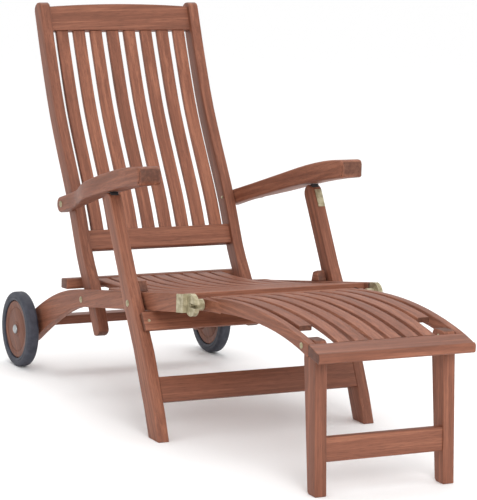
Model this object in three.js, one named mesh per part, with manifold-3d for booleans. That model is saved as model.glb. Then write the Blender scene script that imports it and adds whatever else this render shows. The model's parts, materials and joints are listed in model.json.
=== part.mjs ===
// Folding deck chair with a leg rest, in oiled hardwood with brass fittings and two wheels.
// Millimetres, +Z up. The chair faces -Y. The origin lies on the floor at the middle of the
// chair's length and width. Side outlines are drawn as (y, z), with y counted rearwards from
// the front feet, and the whole chair is then moved so that its middle is at y = 0.
import * as THREE from 'three';
import { mergeVertices } from 'three/addons/utils/BufferGeometryUtils.js';
import Module from 'manifold-3d';

// Widths, each as half of the distance across the chair.
const RAIL = { inner: 236.5, outer: 261.5 };        // seat side rails
const STILE = { inner: 206, outer: 234.5 };           // backrest uprights, inside the seat rails
const LEG = { inner: 267.5, outer: 297 };         // front legs, outside the seat rails
const ARM = { inner: 247, outer: 308, rearInner: 236, rearOuter: 266 };
const FOOT_RAIL = { inner: 180.5, outer: 200 };     // leg rest side rails
const FOOT_LEG = { inner: 150, outer: 179 };
const WHEEL = { middle: 289, width: 33, radius: 102, disc: 79, discWidth: 25 };

// Joints, as (y, z).
const BACK_PIVOT = [566, 245];
const ARM_PIVOT = [702, 476];
const LEG_PIVOT = [192, 305];
const AXLE = [921, 102];
const HINGE = [-70, 345];
const FOOT_LEG_PIVOT = [-527, 335];
// The arm, the back, the front leg and the seat rail make a parallelogram, so the arm meets the
// leg at this fourth corner.
const LEG_TOP = [
  LEG_PIVOT[0] + ARM_PIVOT[0] - BACK_PIVOT[0],
  LEG_PIVOT[1] + ARM_PIVOT[1] - BACK_PIVOT[1],
];

// Seat side rails: straight, falling to the rear, then bending down to the axle.
const SEAT_SLOPE = 0.16;
const RAIL_TOP_AT_FOOT = 361;
const RAIL_DEPTH = 45;
const SEAT_FRONT = -50;
const RAIL_END_RADIUS = 36;
const railTop = (y) => RAIL_TOP_AT_FOOT - SEAT_SLOPE * y;
const railBottom = (y) => railTop(y) - RAIL_DEPTH;

// Slats.
const SEAT_SLAT = { count: 11, width: 32.5, thick: 14 };
const BACK_SLAT = { count: 8, width: 34, thick: 13 };
const FOOT_SLAT = { count: 8, width: 31.5, thick: 12 };

// Leg rest.
const FOOT_REAR_FACE = -68;
const FOOT_EAR = { middle: [-56, 342.5], radius: 16.5 };
const HINGE_BLOCK = { outer: 221, front: -132, bottom: 333, top: 357, chamfer: 9 };
const FOOT_END_FACE = -557;
const FOOT_FRONT = -610;
const LEG_POCKET_END = -486;

const BOLT_RADIUS = 4;
const BORE_RADIUS = 4.4;
const BOLT_HEAD = { radius: 8.5, height: 3.6 };
const PLATE = 3;
const GAP = 0.3;
const ROUND_STEPS = 16;

const CHAIR_MIDDLE = (AXLE[0] + WHEEL.radius + FOOT_FRONT) / 2;

const wood = (color) => () => new THREE.MeshStandardMaterial({ color, roughness: 0.6, metalness: 0 });
const frameWood = wood('#9a6450');
const slatWood = wood('#a36d57');
const discWood = wood('#7c4a36');
const brass = () => new THREE.MeshStandardMaterial({ color: '#a89c78', roughness: 0.45, metalness: 0.9 });
const steel = () => new THREE.MeshStandardMaterial({ color: '#8d8f90', roughness: 0.4, metalness: 0.9 });
const rubber = () => new THREE.MeshStandardMaterial({ color: '#2c2d38', roughness: 0.8, metalness: 0 });

const wasm = await Module();
wasm.setup();

const chair = new THREE.Group();
const pieces = new THREE.Group();
pieces.position.y = -CHAIR_MIDDLE;
chair.add(pieces);

// Turns a shape drawn as (y, z) and extruded in its own depth into a solid that runs across the chair.
const ACROSS = new THREE.Matrix4().makeBasis(
  new THREE.Vector3(0, 1, 0), new THREE.Vector3(0, 0, 1), new THREE.Vector3(1, 0, 0),
);

function outline(points) {
  return new THREE.Shape(points.map(([y, z]) => new THREE.Vector2(y, z)));
}

function curvePoints(start, controlA, controlB, end, steps) {
  const curve = new THREE.CubicBezierCurve(
    ...[start, controlA, controlB, end].map(([y, z]) => new THREE.Vector2(y, z)),
  );
  return curve.getPoints(steps).map((point) => [point.x, point.y]);
}

function smoothPoints(points, steps) {
  const curve = new THREE.SplineCurve(points.map(([y, z]) => new THREE.Vector2(y, z)));
  return curve.getPoints(steps).map((point) => [point.x, point.y]);
}

function arcPoints(centre, radius, from, to, steps) {
  const points = [];
  for (let step = 0; step <= steps; step++) {
    const angle = from + ((to - from) * step) / steps;
    points.push([centre[0] + radius * Math.cos(angle), centre[1] + radius * Math.sin(angle)]);
  }
  return points;
}

// The two edges of a strip that follows a centre line, as [left edge, right edge].
function stripEdges(points, halfWidths) {
  const left = [];
  const right = [];
  points.forEach((point, index) => {
    const before = points[Math.max(index - 1, 0)];
    const after = points[Math.min(index + 1, points.length - 1)];
    const length = Math.hypot(after[0] - before[0], after[1] - before[1]);
    const across = [-(after[1] - before[1]) / length, (after[0] - before[0]) / length];
    const half = halfWidths[index];
    left.push([point[0] + across[0] * half, point[1] + across[1] * half]);
    right.push([point[0] - across[0] * half, point[1] - across[1] * half]);
  });
  return [left, right];
}

// A profile drawn as (y, z) and extruded from x = from to x = to.
function acrossGeometry(points, from, to) {
  const geometry = new THREE.ExtrudeGeometry(outline(points), { depth: to - from, bevelEnabled: false });
  geometry.translate(0, 0, from);
  return geometry.applyMatrix4(ACROSS);
}

// A plan outline drawn as (x, y) and extruded upwards.
function planGeometry(points, from, to) {
  const geometry = new THREE.ExtrudeGeometry(outline(points), { depth: to - from, bevelEnabled: false });
  return geometry.translate(0, 0, from);
}

// A turned piece whose axis runs across the chair: profile points are (radius, x).
function turnedGeometry(profile, centre, steps = ROUND_STEPS) {
  const geometry = new THREE.LatheGeometry(profile.map(([r, x]) => new THREE.Vector2(r, x)), steps);
  geometry.rotateZ(-Math.PI / 2);
  return geometry.translate(0, centre[0], centre[1]);
}

function rodGeometry(radius, centre, from, to, steps = ROUND_STEPS) {
  return turnedGeometry([[0, from], [radius, from], [radius, to], [0, to]], centre, steps);
}

function toSolid(geometry) {
  const bare = geometry.clone();
  bare.deleteAttribute('normal');
  bare.deleteAttribute('uv');
  const merged = mergeVertices(bare, 1e-4);
  return new wasm.Manifold(new wasm.Mesh({
    numProp: 3,
    vertProperties: new Float32Array(merged.attributes.position.array),
    triVerts: new Uint32Array(merged.index.array),
  }));
}

function toGeometry(solid) {
  const mesh = solid.getMesh();
  const geometry = new THREE.BufferGeometry();
  geometry.setAttribute('position', new THREE.BufferAttribute(new Float32Array(mesh.vertProperties), 3));
  geometry.setIndex(new THREE.BufferAttribute(new Uint32Array(mesh.triVerts), 1));
  geometry.computeVertexNormals();
  return geometry;
}

function cut(geometry, ...tools) {
  return toGeometry(tools.reduce((solid, tool) => solid.subtract(toSolid(tool)), toSolid(geometry)));
}

function join(geometry, ...others) {
  return toGeometry(others.reduce((solid, other) => solid.add(toSolid(other)), toSolid(geometry)));
}

function addPiece(name, geometry, material) {
  const mesh = new THREE.Mesh(geometry, material());
  mesh.name = name;
  pieces.add(mesh);
}

// Adds the left piece (-X) as drawn for the right side and mirrored.
function addPair(name, geometryFor, material) {
  for (const [side, sign] of [['left', -1], ['right', 1]]) {
    addPiece(`${name}_${side}`, geometryFor((x) => sign * x, sign), material);
  }
}

// The same profile on the left or the right side, from the inner to the outer width.
function sideGeometry(points, inner, outer, sign) {
  return acrossGeometry(points, Math.min(sign * inner, sign * outer), Math.max(sign * inner, sign * outer));
}

function sideRod(radius, centre, inner, outer, sign, steps) {
  const ends = [sign * inner, sign * outer].sort((a, b) => a - b);
  return rodGeometry(radius, centre, ends[0], ends[1], steps);
}

function bore(centre, inner, outer, sign) {
  return sideRod(BORE_RADIUS, centre, inner - 1, outer + 1, sign);
}

// A round-headed bolt, from its inner end to the underside of its head on the outside.
function boltGeometry(centre, inner, face, sign, radius = BOLT_HEAD.radius) {
  const domeShoulder = 0.45 * BOLT_HEAD.height;
  const profile = [
    [0, inner], [BOLT_RADIUS, inner], [BOLT_RADIUS, face], [radius, face],
    [radius, face + domeShoulder], [0.6 * radius, face + BOLT_HEAD.height], [0, face + BOLT_HEAD.height],
  ];
  if (sign > 0) return turnedGeometry(profile, centre);
  return turnedGeometry(profile.map(([r, x]) => [r, -x]).reverse(), centre);
}

// The middle of each slat, counted from the left.
function slatMiddles(count, width, span) {
  const space = (span - count * width) / (count + 1);
  const first = -span / 2 + space + width / 2;
  return Array.from({ length: count }, (_, index) => first + index * (width + space));
}

// ---- Seat frame -------------------------------------------------------------------------

function seatRailProfile() {
  const endNormal = [0.545, 0.839];
  const upperEnd = [AXLE[0] + RAIL_END_RADIUS * endNormal[0], AXLE[1] + RAIL_END_RADIUS * endNormal[1]];
  const lowerEnd = [AXLE[0] - RAIL_END_RADIUS * endNormal[0], AXLE[1] - RAIL_END_RADIUS * endNormal[1]];
  const normalAngle = Math.atan2(endNormal[1], endNormal[0]);
  const bendTop = 600;
  const bendBottom = 560;
  return [
    [SEAT_FRONT, railBottom(SEAT_FRONT)],
    [SEAT_FRONT, railTop(SEAT_FRONT)],
    ...curvePoints([bendTop, railTop(bendTop)], [700, 249], [800, 214], upperEnd, 10),
    ...arcPoints(AXLE, RAIL_END_RADIUS, normalAngle, normalAngle - Math.PI, 8).slice(1, -1),
    ...curvePoints(lowerEnd, [840, 107], [680, 207], [bendBottom, railBottom(bendBottom)], 10),
  ];
}

addPair('seat_rail', (side, sign) => cut(
  sideGeometry(seatRailProfile(), RAIL.inner, RAIL.outer, sign),
  bore(BACK_PIVOT, RAIL.inner, RAIL.outer, sign),
  bore(LEG_PIVOT, RAIL.inner, RAIL.outer, sign),
  sideRod(5.6, AXLE, RAIL.inner - 1, RAIL.outer + 1, sign),
), frameWood);

const FRONT_RAIL = { front: -33, rear: 1 };
addPiece('seat_front_rail', acrossGeometry([
  [FRONT_RAIL.front, railTop(FRONT_RAIL.front)],
  [FRONT_RAIL.rear, railTop(FRONT_RAIL.rear)],
  [FRONT_RAIL.rear, railBottom(FRONT_RAIL.rear)],
  [FRONT_RAIL.front, railBottom(FRONT_RAIL.front)],
], -RAIL.inner + GAP, RAIL.inner - GAP), frameWood);

const REAR_RAIL = { front: 655, rear: 694, frontTop: 284, rearTop: 280, half: 265 };
addPiece('seat_rear_rail', acrossGeometry([
  [REAR_RAIL.front, railTop(REAR_RAIL.front) + GAP],
  [REAR_RAIL.rear, railTop(REAR_RAIL.rear) + 4],
  [REAR_RAIL.rear, REAR_RAIL.rearTop],
  [REAR_RAIL.front, REAR_RAIL.frontTop],
], -REAR_RAIL.half, REAR_RAIL.half), frameWood);

const AXLE_BOARD = { front: 797, rear: 863, bottom: 132, top: 156 };
addPiece('axle_board', acrossGeometry([
  [AXLE_BOARD.front, AXLE_BOARD.bottom],
  [AXLE_BOARD.rear, AXLE_BOARD.bottom],
  [AXLE_BOARD.rear, AXLE_BOARD.top - 6],
  [AXLE_BOARD.front, AXLE_BOARD.top],
], -RAIL.inner + GAP, RAIL.inner - GAP), frameWood);

// Eleven slats with a batten across their undersides. The slats dip towards the back of the seat.
function seatSlatTop(rear) {
  const front = FRONT_RAIL.rear + GAP;
  const end = [REAR_RAIL.front - GAP, 282];
  const full = curvePoints([front, railTop(front)], [180, 330], [400, 283], end, 12);
  return full.filter(([y]) => y <= rear);
}

function seatSlat(middle, rear) {
  const top = seatSlatTop(rear);
  const bottom = top.map(([y, z]) => [y, z - SEAT_SLAT.thick]).reverse();
  return acrossGeometry([...top, ...bottom], middle - SEAT_SLAT.width / 2, middle + SEAT_SLAT.width / 2);
}

const seatMiddles = slatMiddles(SEAT_SLAT.count, SEAT_SLAT.width, 2 * RAIL.inner);
const SHORT_SLAT_END = 480;
const seatSlats = seatMiddles.map((middle, index) => {
  const outermost = index === 0 || index === seatMiddles.length - 1;
  return seatSlat(middle, outermost ? SHORT_SLAT_END : REAR_RAIL.rear);
});
const BATTEN = { front: 300, rear: 340, bottom: 279, top: 299.5 };
const battenGeometry = acrossGeometry([
  [BATTEN.front, BATTEN.bottom],
  [BATTEN.rear, BATTEN.bottom],
  [BATTEN.rear, BATTEN.top - 6],
  [BATTEN.front, BATTEN.top],
], -RAIL.inner + GAP, RAIL.inner - GAP);
addPiece('seat_slats', join(battenGeometry, ...seatSlats), slatWood);

// Small blocks on the seat rails that the arms come down on when the chair is folded.
const CLEAT = { front: 200, rear: 242, height: 26 };
addPair('rest_cleat', (side, sign) => sideGeometry([
  [CLEAT.front, railTop(CLEAT.front) + GAP],
  [CLEAT.rear, railTop(CLEAT.rear) + GAP],
  [CLEAT.rear - 8, railTop(CLEAT.rear) + CLEAT.height],
  [CLEAT.front + 14, railTop(CLEAT.front) + CLEAT.height],
], RAIL.inner + 1, RAIL.outer - 1, sign), frameWood);

// Brass hinges on the front ends of the seat rails: a flange screwed to the rail's outer face, a
// plate across its end, and a thick round ear whose slot holds the leg rest's hinge pin.
const FLANGE_REAR = -17;
const EAR = { radius: 27, inner: 242, outer: 254, slot: 4.8 };
function hingeCap(sign) {
  const faceOuter = RAIL.outer + GAP;
  const front = SEAT_FRONT - GAP;
  const flange = sideGeometry([
    [FLANGE_REAR, railBottom(FLANGE_REAR)],
    [front - PLATE, railBottom(SEAT_FRONT)],
    [front - PLATE, railTop(SEAT_FRONT)],
    [FLANGE_REAR, railTop(FLANGE_REAR)],
  ], faceOuter, faceOuter + PLATE, sign);
  const endPlate = sideGeometry([
    [front - PLATE, railBottom(SEAT_FRONT)],
    [front, railBottom(SEAT_FRONT)],
    [front, railTop(SEAT_FRONT)],
    [front - PLATE, railTop(SEAT_FRONT)],
  ], EAR.inner, faceOuter + PLATE, sign);
  const clip = Math.acos((front - HINGE[0]) / EAR.radius);
  const ear = sideGeometry(
    arcPoints(HINGE, EAR.radius, clip, 2 * Math.PI - clip, 22), EAR.inner, EAR.outer, sign,
  );
  const slot = sideGeometry([
    [HINGE[0], HINGE[1] - EAR.slot],
    [HINGE[0], HINGE[1] + EAR.slot],
    [HINGE[0] - EAR.radius - 1, HINGE[1] + EAR.slot],
    [HINGE[0] - EAR.radius - 1, HINGE[1] - EAR.slot],
  ], EAR.inner - 1, EAR.outer + 1, sign);
  const slotEnd = sideRod(EAR.slot, HINGE, EAR.inner - 1, EAR.outer + 1, sign);
  return cut(join(flange, endPlate, ear), slot, slotEnd);
}
addPair('hinge_cap', (side, sign) => hingeCap(sign), brass);

// ---- Backrest ---------------------------------------------------------------------------

// Centre line of an upright, from its rounded lower end to its top.
const STILE_LINE = [[525, 166], [546, 204], [570, 243], [594, 277], [641, 342], [690, 440], [727, 506],
  [803, 625], [860, 724], [922, 860], [966, 968]];
const STILE_STEPS = 22;
const STILE_DEPTH = 46;
const STILE_FOOT = 20;
const STILE_TAPER = 215;

function stileProfile() {
  const line = smoothPoints(STILE_LINE, STILE_STEPS);
  const low = line[0][1];
  const halves = line.map(([, z]) => {
    const share = Math.min((z - low) / (STILE_TAPER - low), 1);
    return STILE_FOOT + (STILE_DEPTH / 2 - STILE_FOOT) * share;
  });
  const [rear, front] = stripEdges(line, halves);
  const top = line[line.length - 1];
  const foot = line[0];
  const topAngle = Math.atan2(rear.at(-1)[1] - top[1], rear.at(-1)[0] - top[0]);
  const footAngle = Math.atan2(front[0][1] - foot[1], front[0][0] - foot[0]);
  return [
    ...rear,
    ...squashedCap(top, STILE_DEPTH / 2, topAngle, 0.75),
    ...front.reverse(),
    ...squashedCap(foot, STILE_FOOT, footAngle, 0.5),
  ];
}

// A rounded end between two edges, flatter than a half circle.
function squashedCap(centre, radius, from, squash) {
  const points = [];
  const steps = 6;
  for (let step = 1; step < steps; step++) {
    const turn = (Math.PI * step) / steps;
    const along = radius * Math.cos(turn);
    const out = -radius * squash * Math.sin(turn);
    points.push([
      centre[0] + along * Math.cos(from) - out * Math.sin(from),
      centre[1] + along * Math.sin(from) + out * Math.cos(from),
    ]);
  }
  return points;
}

addPair('back_stile', (side, sign) => cut(
  sideGeometry(stileProfile(), STILE.inner, STILE.outer, sign),
  bore(BACK_PIVOT, STILE.inner, STILE.outer, sign),
  bore(ARM_PIVOT, STILE.inner, STILE.outer, sign),
), frameWood);

// The part of the backrest's surface between two heights: a strip that follows the uprights.
const STRIP_SAMPLES = 3000;
function backStrip(low, high, thick, steps) {
  const line = smoothPoints(STILE_LINE, STRIP_SAMPLES).filter(([, z]) => z >= low && z <= high);
  const picked = Array.from({ length: steps + 1 }, (_, index) => (
    line[Math.round((index * (line.length - 1)) / steps)]
  ));
  const [rear, front] = stripEdges(picked, picked.map(() => thick / 2));
  return [...rear, ...front.reverse()];
}

const BACK_LEVELS = { bottomLow: 357, bottomHigh: 405, topLow: 909, topHigh: 976 };
addPiece('back_bottom_rail', acrossGeometry(
  backStrip(BACK_LEVELS.bottomLow, BACK_LEVELS.bottomHigh, 24, 3),
  -STILE.inner + GAP, STILE.inner - GAP,
), frameWood);

// The top rail's upper edge rises in an arch, so its front outline is drawn as (x, height along
// the backrest) and laid against the uprights.
const TOP_RAIL = { thick: 24, archRise: 7 };
function topRail() {
  const half = STILE.inner - GAP;
  const line = smoothPoints(STILE_LINE, STRIP_SAMPLES).filter(([, z]) => z >= BACK_LEVELS.topLow);
  const low = line[0];
  const high = line.at(-1);
  const length = Math.hypot(high[0] - low[0], high[1] - low[1]) + 4;
  const points = [[-half, 0], [half, 0], [half, length]];
  const archSteps = 12;
  for (let step = 1; step < archSteps; step++) {
    const along = 1 - (2 * step) / archSteps;
    points.push([half * along, length + TOP_RAIL.archRise * (1 - along * along)]);
  }
  points.push([-half, length]);
  const geometry = planGeometry(points, -TOP_RAIL.thick / 2, TOP_RAIL.thick / 2);
  const lean = Math.atan2(high[0] - low[0], high[1] - low[1]);
  geometry.rotateX(Math.PI / 2 - lean);
  return geometry.translate(0, low[0], low[1]);
}
addPiece('back_top_rail', topRail(), frameWood);

slatMiddles(BACK_SLAT.count, BACK_SLAT.width, 2 * STILE.inner).forEach((middle, index) => {
  const profile = backStrip(BACK_LEVELS.bottomHigh + 0.6, BACK_LEVELS.topLow - 0.6, BACK_SLAT.thick, 14);
  addPiece(`back_slat_${index + 1}`, acrossGeometry(
    profile, middle - BACK_SLAT.width / 2, middle + BACK_SLAT.width / 2,
  ), slatWood);
});

// ---- Arms -------------------------------------------------------------------------------

const ARM_FRONT = 117;
const ARM_END_RADIUS = 21;
const ARM_END = [ARM_PIVOT[0] + 9, ARM_PIVOT[1] - 3];

function armSideProfile() {
  const downAngle = -0.5 * Math.PI;
  const upAngle = 0.44 * Math.PI;
  const rearEnd = arcPoints(ARM_END, ARM_END_RADIUS, upAngle, downAngle, 10);
  const first = rearEnd[0];
  const last = rearEnd.at(-1);
  return [
    [ARM_FRONT, 612],
    [ARM_FRONT, 640],
    [ARM_FRONT + 8, 648],
    ...curvePoints([139, 648], [310, 628], [500, 552], first, 12),
    ...rearEnd.slice(1, -1),
    ...curvePoints(last, [560, 498], [330, 570], [130, 603], 12),
    [ARM_FRONT + 5, 604],
  ];
}

function armPlan(sign) {
  const outerEdge = curvePoints(
    [ARM.outer, 420], [ARM.outer, 520], [ARM.rearOuter, 560], [ARM.rearOuter, 640], 8,
  );
  const points = [
    [ARM.inner + 6, ARM_FRONT - 1],
    [ARM.outer - 6, ARM_FRONT - 1],
    [ARM.outer, ARM_FRONT + 8],
    ...outerEdge,
    [ARM.rearOuter, 760],
    [ARM.rearInner, 760],
    [ARM.rearInner, 640],
    [ARM.inner, 420],
    [ARM.inner, ARM_FRONT + 8],
  ];
  const placed = points.map(([x, y]) => [sign * x, y]);
  return sign > 0 ? placed : placed.reverse();
}

addPair('arm', (side, sign) => {
  const sideSolid = toSolid(sideGeometry(armSideProfile(), ARM.rearInner - 10, ARM.outer + 10, sign));
  const planSolid = toSolid(planGeometry(armPlan(sign), 400, 700));
  return cut(
    toGeometry(sideSolid.intersect(planSolid)),
    bore(ARM_PIVOT, ARM.rearInner, ARM.rearOuter, sign),
  );
}, frameWood);

// ---- Front legs -------------------------------------------------------------------------

const LEG_FRONT_EDGE = [[-5, 0], [24, 70], [90, 200], [157, 300], [205, 370]];
const LEG_REAR_EDGE = [[256, 370], [220, 300], [154, 200], [85, 70], [53, 0]];
const LEG_TOP_RADIUS = 22;

function frontLegProfile() {
  const lean = Math.atan2(LEG_TOP[0] - LEG_PIVOT[0], LEG_TOP[1] - LEG_PIVOT[1]);
  return [
    ...LEG_FRONT_EDGE,
    ...arcPoints(LEG_TOP, LEG_TOP_RADIUS, Math.PI - lean, -lean, 10),
    ...LEG_REAR_EDGE,
  ];
}

addPair('front_leg', (side, sign) => cut(
  sideGeometry(frontLegProfile(), LEG.inner, LEG.outer, sign),
  bore(LEG_PIVOT, LEG.inner, LEG.outer, sign),
), frameWood);

addPiece('front_leg_stretcher', acrossGeometry(
  [[36, 90], [55, 82], [83, 137], [64, 146]], -LEG.inner + GAP, LEG.inner - GAP,
), frameWood);

addPiece('front_leg_board', acrossGeometry(
  [[104.5, 253.3], [118.9, 246.8], [145.2, 286.8], [131, 293.3]], -LEG.outer + 11, LEG.outer - 11,
), frameWood);

// ---- Leg rest ---------------------------------------------------------------------------

const footTop = (steps) => curvePoints(
  [FOOT_REAR_FACE, 359.5], [-240, 384], [-400, 381], [FOOT_END_FACE, 344], steps,
);

// A packing block on the outside of each rail fills most of the gap to its hinge.
const hingeBlock = (sign) => sideGeometry([
  [HINGE_BLOCK.front + HINGE_BLOCK.chamfer, HINGE_BLOCK.top],
  [HINGE_BLOCK.front, HINGE_BLOCK.top - HINGE_BLOCK.chamfer],
  [HINGE_BLOCK.front, HINGE_BLOCK.bottom + HINGE_BLOCK.chamfer],
  [HINGE_BLOCK.front + HINGE_BLOCK.chamfer, HINGE_BLOCK.bottom],
  ...arcPoints(FOOT_EAR.middle, FOOT_EAR.radius - 1, -0.5 * Math.PI, 0.5 * Math.PI, 8),
], FOOT_RAIL.outer - 1, HINGE_BLOCK.outer, sign);

addPair('footrest_rail', (side, sign) => cut(
  join(sideGeometry([
    ...footTop(12).map(([y, z]) => [Math.max(Math.min(y, FOOT_REAR_FACE - GAP), FOOT_END_FACE + GAP), z]),
    ...curvePoints([FOOT_END_FACE + GAP, 313], [-400, 356], [-240, 348], [FOOT_REAR_FACE - GAP, 326.5], 12),
    ...arcPoints(FOOT_EAR.middle, FOOT_EAR.radius, -0.5 * Math.PI, 0.5 * Math.PI, 8),
  ], FOOT_RAIL.inner, FOOT_RAIL.outer, sign), hingeBlock(sign)),
  bore(FOOT_LEG_PIVOT, FOOT_RAIL.inner, FOOT_RAIL.outer, sign),
  bore(HINGE, FOOT_RAIL.inner, HINGE_BLOCK.outer, sign),
), frameWood);

addPiece('footrest_rear_rail', acrossGeometry([
  [-41, 328], [FOOT_REAR_FACE, 327], [FOOT_REAR_FACE, 359.5], [-41, 357],
], -FOOT_RAIL.inner + GAP, FOOT_RAIL.inner - GAP), frameWood);

addPiece('footrest_end_rail', acrossGeometry([
  [FOOT_END_FACE, 318], [FOOT_END_FACE, 344],
  ...arcPoints([-602, 323.5], 8, 0.42 * Math.PI, Math.PI, 5),
  ...arcPoints([-602, 315], 8, Math.PI, 1.42 * Math.PI, 4),
], -FOOT_RAIL.outer, FOOT_RAIL.outer), frameWood);

function footSlatProfile(end) {
  const front = end;
  const top = footTop(14)
    .map(([y, z]) => [Math.max(Math.min(y, FOOT_REAR_FACE - GAP), FOOT_END_FACE + GAP), z])
    .filter(([y]) => y >= front);
  const bottom = top.map(([y, z]) => [y, z - FOOT_SLAT.thick]).reverse();
  return [...top, ...bottom];
}

slatMiddles(FOOT_SLAT.count, FOOT_SLAT.width, 2 * FOOT_RAIL.inner).forEach((middle, index) => {
  const outermost = index === 0 || index === FOOT_SLAT.count - 1;
  addPiece(`footrest_slat_${index + 1}`, acrossGeometry(
    footSlatProfile(outermost ? LEG_POCKET_END : FOOT_FRONT),
    middle - FOOT_SLAT.width / 2, middle + FOOT_SLAT.width / 2,
  ), slatWood);
});

function footLegProfile() {
  const corner = 13;
  const top = FOOT_LEG_PIVOT[1] + 14;
  const front = FOOT_LEG_PIVOT[0] - 27;
  const rear = FOOT_LEG_PIVOT[0] + 27;
  return [
    [-575, 0],
    ...arcPoints([front + corner, top - corner], corner, Math.PI, 0.5 * Math.PI, 4),
    ...arcPoints([rear - corner, top - corner], corner, 0.5 * Math.PI, 0, 4),
    [-500, 300],
    [-536, 6],
    [-542, 0],
  ];
}

addPair('footrest_leg', (side, sign) => cut(
  sideGeometry(footLegProfile(), FOOT_LEG.inner, FOOT_LEG.outer, sign),
  bore(FOOT_LEG_PIVOT, FOOT_LEG.inner, FOOT_LEG.outer, sign),
), frameWood);

addPiece('footrest_leg_stretcher', acrossGeometry(
  [[-566, 76], [-546, 76], [-543, 131], [-563, 131]], -FOOT_LEG.inner + GAP, FOOT_LEG.inner - GAP,
), frameWood);

// ---- Bolts and pins ---------------------------------------------------------------------

addPair('back_pivot_bolt', (side, sign) => (
  boltGeometry(BACK_PIVOT, STILE.inner - 2, RAIL.outer + GAP, sign)
), brass);
addPair('leg_pivot_bolt', (side, sign) => (
  boltGeometry(LEG_PIVOT, RAIL.inner + 1, LEG.outer + GAP, sign)
), brass);
addPair('arm_bolt', (side, sign) => (
  boltGeometry(ARM_PIVOT, STILE.inner - 2, ARM.rearOuter + GAP, sign)
), brass);
addPair('footrest_leg_bolt', (side, sign) => (
  boltGeometry(FOOT_LEG_PIVOT, FOOT_LEG.inner - 1, FOOT_RAIL.outer + GAP, sign, 7)
), brass);
// The hinge pins carry a collar that keeps the leg rest midway between the seat rails.
const COLLAR_RADIUS = 14;
function hingePin(sign) {
  const profile = [
    [0, FOOT_RAIL.inner + 1],
    [BOLT_RADIUS, FOOT_RAIL.inner + 1],
    [BOLT_RADIUS, HINGE_BLOCK.outer + GAP],
    [COLLAR_RADIUS, HINGE_BLOCK.outer + GAP],
    [COLLAR_RADIUS, EAR.inner - GAP],
    [BOLT_RADIUS, EAR.inner - GAP],
    [BOLT_RADIUS, EAR.outer],
    [0, EAR.outer],
  ];
  if (sign > 0) return turnedGeometry(profile, HINGE);
  return turnedGeometry(profile.map(([r, x]) => [r, -x]).reverse(), HINGE);
}
addPair('hinge_pin', (side, sign) => hingePin(sign), brass);

// ---- Wheels -----------------------------------------------------------------------------

const AXLE_RADIUS = 5;
const CAP_NUT = { radius: 12, height: 7 };
const hubOuter = WHEEL.middle + WHEEL.discWidth / 2;
const AXLE_FLANGE = { radius: 10, thick: 5 };
function axleBolt(sign) {
  const profile = [
    [0, RAIL.inner - GAP - AXLE_FLANGE.thick],
    [AXLE_FLANGE.radius, RAIL.inner - GAP - AXLE_FLANGE.thick],
    [AXLE_FLANGE.radius, RAIL.inner - GAP],
    [AXLE_RADIUS, RAIL.inner - GAP],
    [AXLE_RADIUS, hubOuter + 0.6],
    [CAP_NUT.radius, hubOuter + 0.6],
    [CAP_NUT.radius, hubOuter + 0.4 * CAP_NUT.height],
    [0.7 * CAP_NUT.radius, hubOuter + CAP_NUT.height],
    [0, hubOuter + CAP_NUT.height],
  ];
  if (sign > 0) return turnedGeometry(profile, AXLE);
  return turnedGeometry(profile.map(([r, x]) => [r, -x]).reverse(), AXLE);
}
addPair('axle_bolt', (side, sign) => axleBolt(sign), steel);

const WHEEL_STEPS = 40;
addPair('wheel_disc', (side, sign) => {
  const low = sign * WHEEL.middle - WHEEL.discWidth / 2;
  const high = low + WHEEL.discWidth;
  const hole = AXLE_RADIUS + 0.5;
  const rim = WHEEL.disc - GAP;
  const profile = [[hole, low], [rim, low], [rim, high], [hole, high], [hole, low]];
  return turnedGeometry(profile, AXLE, WHEEL_STEPS);
}, discWood);

addPair('tyre', (side, sign) => {
  const half = WHEEL.width / 2;
  const middle = sign * WHEEL.middle;
  return turnedGeometry([
    [WHEEL.disc, middle - half + 2],
    [WHEEL.disc + 4, middle - half],
    [WHEEL.radius - 7, middle - half],
    [WHEEL.radius, middle - half + 7],
    [WHEEL.radius, middle + half - 7],
    [WHEEL.radius - 7, middle + half],
    [WHEEL.disc + 4, middle + half],
    [WHEEL.disc, middle + half - 2],
    [WHEEL.disc, middle - half + 2],
  ], AXLE, WHEEL_STEPS);
}, rubber);

export default chair;
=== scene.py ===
"""A folding deck chair: rounded oiled timber, brass fittings and rubber-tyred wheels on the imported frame."""

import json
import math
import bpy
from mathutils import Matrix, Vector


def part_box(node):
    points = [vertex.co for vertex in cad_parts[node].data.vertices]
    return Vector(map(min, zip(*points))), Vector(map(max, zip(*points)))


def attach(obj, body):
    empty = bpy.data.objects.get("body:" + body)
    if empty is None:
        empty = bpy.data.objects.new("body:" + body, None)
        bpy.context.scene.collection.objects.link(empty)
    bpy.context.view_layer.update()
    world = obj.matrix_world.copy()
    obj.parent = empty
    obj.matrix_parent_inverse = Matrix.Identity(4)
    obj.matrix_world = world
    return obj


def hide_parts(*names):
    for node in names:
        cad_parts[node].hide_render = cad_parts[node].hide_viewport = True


bl_info = {
    "name": "Folding Deck Chair",
    "version": (1, 0, 0),
    "blender": (4, 5, 0),
    "location": "View3D > Sidebar > Deck Chair",
    "description": "Builds the timber, fittings, wheels and stage of a folding deck chair",
    "category": "Object",
}

import bmesh
import bpy
from mathutils import Matrix, Vector

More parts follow.
